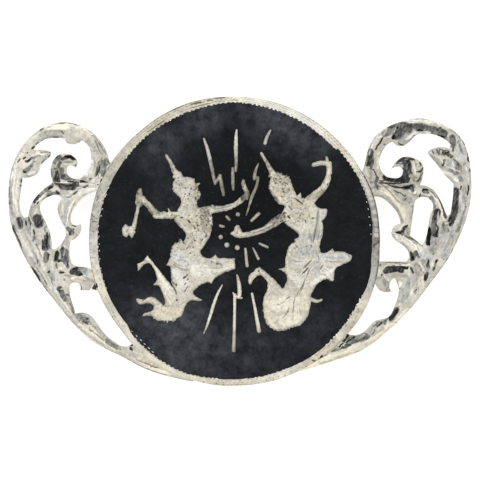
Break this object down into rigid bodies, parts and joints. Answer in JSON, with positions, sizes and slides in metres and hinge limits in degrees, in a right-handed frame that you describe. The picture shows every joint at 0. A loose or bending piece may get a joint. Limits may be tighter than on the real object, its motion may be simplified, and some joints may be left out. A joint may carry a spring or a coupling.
{
  "type": "niello brooch",
  "caption": "Round niello brooch with two raised dancers and lightning in silver on black, pierced scroll wings at the sides and a pin on the back.",
  "frame": {"origin": "middle of the footprint, on the surface that the brooch lies on with its face up", "axes": "+Z out of the face, +X to the viewer's right along the wings, +Y to the top of the brooch"},
  "size_m": [0.057, 0.0356, 0.0044],
  "materials": {
    "silver": "satin cream-white silver, hand engraved, with dark traces in the cuts",
    "niello": "near-black sulphide inlay, burnished, with cloudy blue-grey patches",
    "pin_metal": "plain satin white metal"
  },
  "bodies": {
    "root": {"silver_body": "silver", "niello_field": "niello", "brooch_pin": "pin_metal"}
  },
  "joints": []
}
